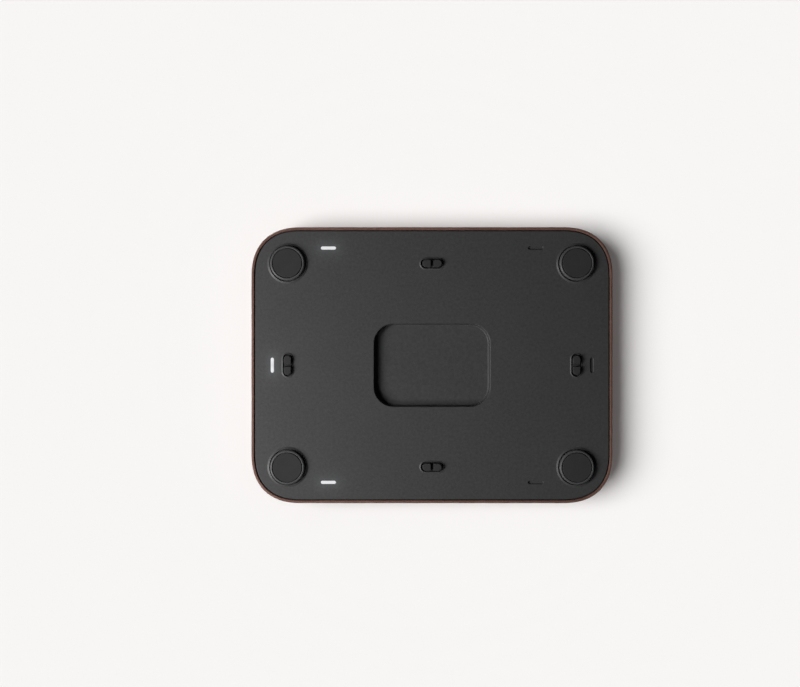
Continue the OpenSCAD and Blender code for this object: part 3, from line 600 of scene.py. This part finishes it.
def cover_parts():
    """The cover's skin: flat faces outside and inside, each cut by the loops of its features, and
    every feature a section carried round its own loop from one face to the other."""
    outline = tray_outline(40, 8.0)
    rise = PLATE_TOP - BASE_Z
    soft = sector((PLATE_INSET + PLATE_SOFT, BASE_Z + PLATE_SOFT), PLATE_SOFT, 270, 180, 8)
    parts = [carried(outline, np.concatenate([soft, [[PLATE_INSET, PLATE_TOP], [5.5, PLATE_TOP],
             [5.5, PLATE_TOP + 2], [6.7, PLATE_TOP + 2], [6.7, PLATE_TOP]]]))]
    outer_holes, inner_holes = [], []
    for _, x, y in FEET:
        ring = circle(x * FOOT_X, y * FOOT_Y, COLLAR_RADIUS, 112)
        stem = COLLAR_RADIUS - FOOT_STEM - 0.1
        shelf = COLLAR_RADIUS - FOOT_RADIUS + 0.3
        groove = BASE_Z + FOOT_GROOVE
        section = np.concatenate([collar(COLLAR_WIDTH, COLLAR_HEIGHT, BASE_Z),
                                  [[COLLAR_WIDTH, groove - 0.1], [COLLAR_WIDTH + 0.1, groove], [shelf, groove],
                                   [shelf, BASE_Z], [stem, BASE_Z], [stem, PLATE_TOP]]])
        parts.append(carried(ring, section))
        outer_holes.append(ring[0])
        inner_holes.append(loop(ring, stem))
    for _, x, y, turn in CLIPS:
        reach = CLIP_GROOVE + CLIP_COLLAR_WIDTH
        ring = pill(x, y, turn, CLIP_LENGTH + 2 * reach + 0.8, CLIP_WIDTH + 2 * reach, 26)
        section = np.concatenate([collar(CLIP_COLLAR_WIDTH, CLIP_COLLAR, BASE_Z), [[CLIP_COLLAR_WIDTH, PLATE_TOP]]])
        parts.append(carried(ring, section))
        outer_holes.append(ring[0])
        inner_holes.append(loop(ring, CLIP_COLLAR_WIDTH))
    lead = sector((0, BASE_Z + SLOT_LEAD), SLOT_LEAD, -90, 0, 5)
    for _, x, y, turn in LIT_SLOTS:
        ring = pill(x, y, turn, SLOT_LENGTH + 2 * SLOT_LEAD, SLOT_WIDTH + 2 * SLOT_LEAD)
        parts.append(carried(ring, np.concatenate([lead, [[SLOT_LEAD, PLATE_TOP]]])))
        outer_holes.append(ring[0])
        inner_holes.append(loop(ring, SLOT_LEAD))
    for _, x, y, turn in BLANK_SLOTS:
        ring = pill(x, y, turn, SLOT_LENGTH + 2 * SLOT_LEAD, SLOT_WIDTH + 2 * SLOT_LEAD)
        bottom = sector((SLOT_LEAD + 0.2, BASE_Z + SLOT_RECESS - 0.2), 0.2, 180, 90, 4)
        parts.append(carried(ring, np.concatenate([lead, bottom])))
        parts.append(flat_face(loop(ring, bottom[-1, 0]), [], BASE_Z + SLOT_RECESS))
        outer_holes.append(ring[0])
    bay = rounded_box(BAY_HALF, BAY_CORNER, 24)
    heights = [BASE_Z + BAY_LIP, PORT_Z, BAY_CEILING - BAY_FILLET]
    lip = sector((-BAY_LIP + bay_inset(heights[0]), BASE_Z + BAY_LIP), BAY_LIP, -90, 0, 8)
    turn = bay_inset(heights[2]) + BAY_FILLET
    fillet = sector((turn, heights[2]), BAY_FILLET, 180, 90, 8)
    inner = np.concatenate([lip, [[bay_inset(heights[1]), heights[1]]], fillet])
    skins, holes = bay_side(bay, inner, 8, 10)
    outer = np.array([[bay_inset(z) - BAY_WALL, z] for z in (PLATE_TOP, PLATE_TOP + 0.2, PORT_Z, BAY_CEILING - 0.2,
                                                              BAY_CEILING + BAY_WALL - 0.6)])
    outer = np.concatenate([outer, [[outer[-1, 0] + 0.6, BAY_CEILING + BAY_WALL]]])
    shells, far_holes = bay_side(bay, outer, 0, 3)
    parts += skins + shells + [between(near, far) for near, far in zip(holes, far_holes)]
    parts.append(flat_face(loop(bay, fillet[-1, 0]), [], BAY_CEILING))
    parts.append(flat_face(loop(bay, outer[-1, 0]), [], BAY_CEILING + BAY_WALL))
    outer_holes.append(loop(bay, lip[0, 0]))
    inner_holes.append(loop(bay, outer[0, 0]))
    parts.append(flat_face(loop(outline, PLATE_INSET + PLATE_SOFT), outer_holes, BASE_Z))
    parts.append(flat_face(loop(outline, 6.7), inner_holes, PLATE_TOP))
    return parts


def cover_edge(p):
    """Polish on the collars' crests, the bay's rim and the plate's outer edge."""
    crest = np.clip((BASE_Z + 0.1 - p[:, 2]) / 0.6, 0, 1)
    ahead = np.maximum(np.abs(p[:, 0]) - BAY_HALF[0], np.abs(p[:, 1]) - BAY_HALF[1])
    rim = (np.abs(ahead) < 1.5) * np.clip((p[:, 2] - BASE_Z - 0.01) / 0.1, 0, 1) * (p[:, 2] < BASE_Z + 1)
    return np.clip(np.maximum(crest, rim), 0, 1)


def painted_window_glow():
    """Painted glow standing in for the light a lit window throws on the plastic beside it: 1 at the slot,
    falling by e every 4.6 mm of the distance from its edge. Turn is 0 for a slot along X and 1 along Y."""
    group, given, result = effect("painted_window_glow", [("Vector", "NodeSocketVector"), ("Centre", "NodeSocketVector"),
                                                  ("Turn", "NodeSocketFloat")], [("Mask", "NodeSocketFloat")])
    gap = add_node(group, "ShaderNodeVectorMath", {"operation": "SUBTRACT"}, _0=given["Vector"], _1=given["Centre"])
    axes = add_node(group, "ShaderNodeSeparateXYZ", None, Vector=gap.outputs[0]).outputs
    x, y = maths(group, "ABSOLUTE", axes["X"]), maths(group, "ABSOLUTE", axes["Y"])
    along = maths(group, "ADD", maths(group, "MULTIPLY", x, maths(group, "SUBTRACT", 1.0, given["Turn"])),
                  maths(group, "MULTIPLY", y, given["Turn"]))
    across = maths(group, "ADD", maths(group, "MULTIPLY", y, maths(group, "SUBTRACT", 1.0, given["Turn"])),
                   maths(group, "MULTIPLY", x, given["Turn"]))
    past = maths(group, "MAXIMUM", maths(group, "SUBTRACT", along, (SLOT_LENGTH - SLOT_WIDTH) / 2 * MM), 0.0)
    away = maths(group, "SQRT", maths(group, "ADD", maths(group, "MULTIPLY", past, past),
                                      maths(group, "MULTIPLY", across, across)))
    beyond = maths(group, "SUBTRACT", away, SLOT_WIDTH / 2 * MM)
    group.links.new(maths(group, "EXPONENT", maths(group, "MULTIPLY", beyond, -1 / (4.6 * MM)), 0.0, True),
                    result["Mask"])
    return group


def paint_window_glow(material):
    """Paints the glow of the lit windows onto a plastic: faint bluish emission of its own, standing in for the light
    they throw on it.
    """
    tree, halo = material.node_tree, painted_window_glow()
    sockets, where = tree.nodes["Principled BSDF"].inputs, tree.nodes["Texture Coordinate"].outputs["Object"]
    total = 0.0
    for _, x, y, turn in LIT_SLOTS:
        mask = place(tree, halo, Vector=where, Centre=(x * MM, y * MM, BASE_Z * MM), Turn=turn / 90)["Mask"]
        total = maths(tree, "ADD", mask, total)
    # Painted glow: bluish emission on the plastic near the lit windows, not light from a lamp.
    tree.links.new(mixed(tree, total, (0, 0, 0, 1), (0.0275, 0.0295, 0.0305, 1)), sockets["Emission Color"])
    sockets["Emission Strength"].default_value = 1.0


cover_plastic = moulded_plastic("base_plastic", COVER_GREY, 1500.0, 0.00007, 0.46, 0.22, 0.04, 0.2, 0.35, 0.17)
# The cover plastic carries the painted glow of the lit windows.
paint_window_glow(cover_plastic)
cover = build("base_cover_moulding", cover_parts(), cover_plastic, 40.0, cover_edge)
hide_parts("base_cover")


# The circuit board, its parts and its two sockets, screwed to posts behind the bay.
# The sockets are bent steel shells that look into the bay through its wall.
def circuit_board():
    """Green solder mask over copper tracks: square cells of tracks, and drilled pads."""
    material, tree, sockets, where = new_material("board_green", Roughness=0.34)
    brick = add_node(tree, "ShaderNodeTexBrick", None, Vector=where, Scale=260.0)
    tracks = remap(tree, brick.outputs["Fac"], 0.0, 1.0)
    pads = remap(tree, cells(tree, where, 380.0), 0.16, 0.12)
    mask = mixed(tree, tracks, (0.006, 0.07, 0.028, 1), (0.012, 0.13, 0.05, 1))
    tree.links.new(mixed(tree, pads, mask, (0.55, 0.5, 0.38, 1)), sockets["Base Color"])
    bump(tree, sockets, tracks, 0.00003)
    return material


board_green = circuit_board()
dress("main_board", board_green)
for end in ("front", "rear", "left"):
    dress("light_board_" + end, board_green)
dress("board_parts", moulded_plastic("chip_black", (0.02, 0.02, 0.021, 1), 2400.0, 0.00003, 0.45))
socket_steel = plated_metal("socket_steel", (0.58, 0.58, 0.6, 1), 0.28)
dress("usb_c_output", socket_steel)
dress("usb_c_input", socket_steel)
screw_steel = plated_metal("screw_steel", (0.5, 0.5, 0.52, 1), 0.3)
dress("board_screws", screw_steel)


# The lit windows: frosted polycarbonate light pipes pressed into three slots from inside.
# Two light chips behind each make it a little brighter towards its ends.
WINDOW_FIT, WINDOW_SINK, WINDOW_SOFT = 0.15, 0.15, 0.25
WINDOW_FLANGE, WINDOW_OVER = 1.0, 1.4


def window_parts(x, y, turn):
    """A pill carried from its softened face up through the slot and out to the flange, with a flat
    face at each end."""
    ring = pill(x, y, turn, SLOT_LENGTH - 2 * WINDOW_FIT, SLOT_WIDTH - 2 * WINDOW_FIT, 14, 24)
    face, back = BASE_Z + WINDOW_SINK, PLATE_TOP + WINDOW_FLANGE
    out = WINDOW_FIT + WINDOW_OVER / 2
    section = np.concatenate([sector((WINDOW_SOFT, face + WINDOW_SOFT), WINDOW_SOFT, 270, 180, 6),
                              [[0, PLATE_TOP], [-out, PLATE_TOP], [-out, back]]])
    return [carried(ring, section), flat_face(loop(ring, WINDOW_SOFT), [], face), flat_face(loop(ring, -out), [], back)]


def frosted_window():
    """Glowing frosted plastic: a hot spot over each chip, from the edge mask of the mesh."""
    material, tree, sockets, where = new_material("window_frost", Roughness=0.45, Emission_Strength=1.0)
    spot = add_node(tree, "ShaderNodeAttribute", {"attribute_name": "edge"}).outputs["Fac"]
    cloud = noise(tree, where, 1600.0, 2.0, 0.5)
    light = maths(tree, "ADD", spot, maths(tree, "MULTIPLY", cloud, 0.1), True)
    tree.links.new(mixed(tree, light, (0.44, 0.45, 0.455, 1), (0.56, 0.57, 0.58, 1)), sockets["Emission Color"])
    tree.links.new(mixed(tree, cloud, (0.30, 0.305, 0.31, 1), (0.34, 0.345, 0.35, 1)), sockets["Base Color"])
    bump(tree, sockets, cloud, 0.00003)
    return material


window_frost = frosted_window()
for end, x, y, turn in LIT_SLOTS:
    def chip_glow(p, x=x, y=y, turn=turn):
        """Sum of two round falls of light, one over each chip."""
        along = p[:, 0] - x if turn == 0 else p[:, 1] - y
        return np.clip(np.exp(-((np.abs(along) - SLOT_LENGTH / 3) / 2.6) ** 2), 0, 1)
    window = build("light_pipe_" + end, window_parts(x, y, turn), window_frost, 40.0, chip_glow)
    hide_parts("light_window_" + end)


# The cable clips: soft black rubber, pushed out through the cover from inside.
# Each has two D-shaped posts with a round channel between them, and a flange that holds it.
CLIP_SOFT, CLIP_TIP, CLIP_MOUTH, CLIP_CHANNEL = 0.7, 0.9, 2.1, 2.9
CLIP_FLANGE, CLIP_FLANGE_OVER = 1.0, CLIP_GROOVE + 0.9


def post_parts(side):
    """One post as rings of a D up its height. Ring z has its flat at half the mouth, or at
    sqrt(r * r - (z - c) ** 2) inside the round channel of radius r centred at height c, and is drawn
    in near the tip along a quarter circle."""
    angle = np.linspace(0, math.pi / 2, 13)
    tip = np.stack([CLIP_SOFT * (1 - np.sin(angle)), CLIP_TIP + CLIP_SOFT * (1 - np.cos(angle))], 1)
    up = np.linspace(CLIP_TIP + CLIP_SOFT + 0.1, BASE_Z + 0.4, 26)
    drawn = np.concatenate([tip[:, 0], np.zeros(26)])[:, None]
    z = np.concatenate([tip[:, 1], up])
    radius = CLIP_CHANNEL / 2
    round_half = np.sqrt(np.clip(radius ** 2 - (z - BASE_Z + radius) ** 2, 0, None))
    mouth = np.where(z < CLIP_TIP + 1.6, CLIP_MOUTH / 2, 0.02)
    near = np.maximum(mouth, round_half)[:, None] + 0.35 * drawn
    far, across = CLIP_LENGTH / 2 - drawn, CLIP_WIDTH / 2 - drawn
    big, small = np.maximum(CLIP_WIDTH * 0.46 - drawn, 0.05), np.maximum(0.75 - drawn, 0.05)
    a = np.linspace(0, math.pi / 2, 11)[None]
    c, s = np.cos(a), np.sin(a)
    x = np.concatenate([far - big + big * c, near + small - small * s, near + small - small * c,
                        far - big + big * s], 1)
    y = np.concatenate([across - big + big * s, across - small + small * c, -across + small - small * s,
                        -across + big - big * c], 1)
    rings = np.stack([x * side, y, np.broadcast_to(z[:, None], x.shape)], 2)
    middle = np.broadcast_to(rings.mean(1, keepdims=True), rings.shape)
    rings = np.concatenate([middle[:1], 0.5 * middle[:1] + 0.5 * rings[:1], rings, middle[-1:]])
    return rings.reshape(-1, 3), quads(len(rings), rings.shape[1])


def clip_parts(x, y, turn):
    """Two posts on a pill that fills the cover's hole and spreads into a flange behind it."""
    stem = pill(0, 0, 0, CLIP_LENGTH, CLIP_WIDTH, 20)
    back, over = PLATE_TOP + CLIP_FLANGE, -CLIP_FLANGE_OVER
    section = [[0.3, BASE_Z], [0, BASE_Z + 0.3], [0, PLATE_TOP], [over, PLATE_TOP], [over, back]]
    parts = [post_parts(1), post_parts(-1), carried(stem, section), flat_face(loop(stem, 0.3), [], BASE_Z),
             flat_face(loop(stem, over), [], back)]
    c, s = math.cos(math.radians(turn)), math.sin(math.radians(turn))
    spin = np.array([[c, s, 0], [-s, c, 0], [0, 0, 1]])
    return [(points @ spin + [x, y, 0], faces) for points, faces in parts]


clip_rubber = moulded_plastic("clip_rubber", (0.038, 0.038, 0.039, 1), 1900.0, 0.00003, 0.78, 0.08, 0.03, 0.2, 0.18, 0.1)
for end, x, y, turn in CLIPS:
    clip = build("cable_post_" + end, clip_parts(x, y, turn), clip_rubber, 40.0,
                 lambda p: np.clip(1 - np.abs(p[:, 2] - CLIP_TIP - 0.25) / 0.5, 0, 1))
    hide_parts("cable_clip_" + end)


# The feet: a hard moulded cup on each corner of the cover, held by one screw up into the tub.
# A flat rubber pad is glued into the cup over the screw and stands just proud of its rim.
CUP_GREY, PAD_GREY = (0.082, 0.082, 0.084, 1), (0.039, 0.039, 0.040, 1)
POCKET_RADIUS, POCKET_Z, SCREW_SINK, PAD_GAP = 11.6, 1.9, 1.6, 0.4


def turned(x, y, section, steps=112):
    """A section of (radius, z) pairs turned about the upright line through (x, y). It is closed on
    itself unless it starts on that line."""
    section = np.asarray(section, float)
    a = np.arange(steps) * 2 * math.pi / steps
    radius = section[:, 0, None]
    z = np.broadcast_to(section[:, 1, None], (len(section), steps))
    points = np.stack([x + radius * np.cos(a), y + radius * np.sin(a), z], 2)
    return [(points.reshape(-1, 3), quads(len(section), steps, section[0, 0] > 0))]


cup_section = np.concatenate([
    [[1.6, POCKET_Z + SCREW_SINK], [3.0, POCKET_Z + SCREW_SINK], [3.0, POCKET_Z], [POCKET_RADIUS, POCKET_Z]],
    sector((POCKET_RADIUS + 0.4, 0.7), 0.4, 180, 270, 8),
    sector((FOOT_RADIUS - 1.3, 1.6), 1.3, 270, 360, 14),
    [[FOOT_RADIUS, BASE_Z], [FOOT_STEM, BASE_Z], [FOOT_STEM, PLATE_TOP], [1.6, PLATE_TOP]]])
pad_reach = POCKET_RADIUS - PAD_GAP
sole_section = np.concatenate([[[0, 0], [pad_reach * 0.5, 0]], sector((pad_reach - 0.4, 0.4), 0.4, -90, 0, 7),
                               [[pad_reach, POCKET_Z], [0, POCKET_Z]]])
cup_plastic = moulded_plastic("foot_plastic", CUP_GREY, 2200.0, 0.00003, 0.42, 0.08, 0.02, 0.1)
pad_rubber = moulded_plastic("foot_rubber", PAD_GREY, 2400.0, 0.00002, 0.8, 0.08, 0.04, 0.15, 0.15, 0.05)
for end, side_x, side_y in FEET:
    centre = (side_x * FOOT_X, side_y * FOOT_Y)
    cup = build("foot_shell_" + end, turned(*centre, cup_section), cup_plastic, 40.0,
                lambda p: np.clip(1 - np.abs(p[:, 2] - 0.4) / 0.6, 0, 1))
    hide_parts("foot_cup_" + end)
    sole = build("foot_sole_" + end, turned(*centre, sole_section), pad_rubber, 40.0,
                 lambda p: np.clip(1 - np.abs(p[:, 2] - 0.1) / 0.3, 0, 1))
    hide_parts("foot_pad_" + end)
dress("cover_screws", screw_steel)


# The studio: the photograph looks straight at the underside, so the camera stands below, looks up
# and has a pale backdrop behind the rim. Views from above get a pale floor under the feet.
def pale_board(name, z, upwards, half, colour):
    """A big flat board that only a camera on its lit side sees. Other rays pass through it."""
    corners = [(-half, -half, z), (half, -half, z), (half, half, z), (-half, half, z)]
    mesh = bpy.data.meshes.new(name)
    mesh.from_pydata(corners, [], [(0, 1, 2, 3) if upwards else (3, 2, 1, 0)])
    board = bpy.data.objects.new(name, mesh)
    bpy.context.collection.objects.link(board)
    material = bpy.data.materials.new(name + "_card")
    material.use_nodes = True
    tree = material.node_tree
    tree.nodes.remove(tree.nodes["Principled BSDF"])
    seen = add_node(tree, "ShaderNodeLightPath").outputs["Is Camera Ray"]
    back = add_node(tree, "ShaderNodeNewGeometry").outputs["Backfacing"]
    shown = maths(tree, "MULTIPLY", seen, maths(tree, "SUBTRACT", 1.0, back))
    clear = add_node(tree, "ShaderNodeBsdfTransparent").outputs[0]
    card = add_node(tree, "ShaderNodeBsdfDiffuse", None, Color=colour).outputs[0]
    blend = add_node(tree, "ShaderNodeMixShader", None, _0=shown, _1=clear, _2=card).outputs[0]
    tree.links.new(blend, tree.nodes["Material Output"].inputs["Surface"])
    mesh.materials.append(material)
    return board


def lamp(name, place, aim, size, watts, only, colour=(1, 1, 1), along=(0, 0, 1)):
    """A soft box of two side lengths at place that faces aim, in metres, with its second side along
    the given way, and lights just the objects in only. Given one number instead, it is a far light
    from that side, so many degrees across."""
    far = isinstance(size, int)
    data = bpy.data.lights.new(name, "SUN" if far else "AREA")
    data.energy, data.color = watts, colour
    if far:
        data.angle = math.radians(size)
    else:
        data.shape, data.size, data.size_y = "RECTANGLE", *size
    box = bpy.data.objects.new(name, data)
    bpy.context.collection.objects.link(box)
    box.location = place
    back = (Vector(place) - Vector(aim)).normalized()
    side = Vector(along).cross(back + Vector((1e-6, 0, 0))).normalized()
    box.rotation_euler = Matrix((side, back.cross(side), back)).transposed().to_euler()
    group = bpy.data.collections.new(name + "_lights")
    for thing in only:
        group.objects.link(thing)
    box.light_linking.receiver_collection = group


floor = pale_board("floor", -0.0002, True, 30.0, (0.86, 0.855, 0.85, 1))
backdrop = pale_board("backdrop", (RIM_Z + 0.3) * MM, False, 30.0, (0.90, 0.884, 0.875, 1))
pieces_lit = [thing for thing in bpy.data.objects if thing.type == "MESH" and thing not in (floor, backdrop)]

lamp("key_below", (-0.68, 0.20, -0.58), (-0.10, 0.22, 0), (0.30, 0.66), 8.1, pieces_lit, along=(-0.74, 0.67, 0))
lamp("glint_below", (-0.66, 0.92, -1.28), (0, 0.05, 0), (0.24, 0.24), 3.0, pieces_lit)
lamp("backdrop_wash", (-0.96, 0.12, -1.0), (0, 0, 0), 46, 3.93, [backdrop])
lamp("backdrop_sky", (0, 0, -1.0), (0, 0, 0), 110, 0.40, [backdrop])
lamp("key_above", (-0.9, -1.2, 1.6), (0, 0, 0.02), (0.9, 0.9), 60.0, pieces_lit, (1, 0.99, 0.97))
lamp("fill_above", (1.3, 1.0, 1.1), (0, 0, 0.02), (1.4, 1.4), 26.0, pieces_lit, (0.97, 0.98, 1))
lamp("floor_wash", (-0.9, -1.2, 1.9), (0, 0, 0), 30, 2.6, [floor])
lamp("floor_sky", (0, 0, 1.0), (0, 0, 0), 120, 1.15, [floor])

world = bpy.data.worlds.new("studio_air")
world.use_nodes = True
bpy.context.scene.world = world
air = world.node_tree
rays = add_node(air, "ShaderNodeLightPath").outputs
pale = maths(air, "MAXIMUM", rays["Is Camera Ray"], rays["Is Transmission Ray"])
dim = air.nodes["Background"]
dim.inputs["Color"].default_value = (1, 1, 1, 1)
dim.inputs["Strength"].default_value = 0.015
bright = add_node(air, "ShaderNodeBackground", None, Color=(0.92, 0.915, 0.905, 1), Strength=1.0)
joined = add_node(air, "ShaderNodeMixShader", None, _0=pale, _1=dim.outputs[0], _2=bright.outputs[0])
air.links.new(joined.outputs[0], air.nodes["World Output"].inputs["Surface"])

lens = bpy.data.cameras.new("photo_camera")
lens.lens, lens.sensor_width = 50.0, 36.0
lens.clip_start, lens.clip_end = 0.05, 20.0
camera = bpy.data.objects.new("photo_camera", lens)
bpy.context.collection.objects.link(camera)
camera.location = (-24.82 * MM, -16.8 * MM, (BASE_Z - 860.4) * MM)
camera.rotation_euler = (math.pi, 0, 0)
bpy.context.scene.camera = camera
bpy.context.scene.view_settings.view_transform = "Standard"
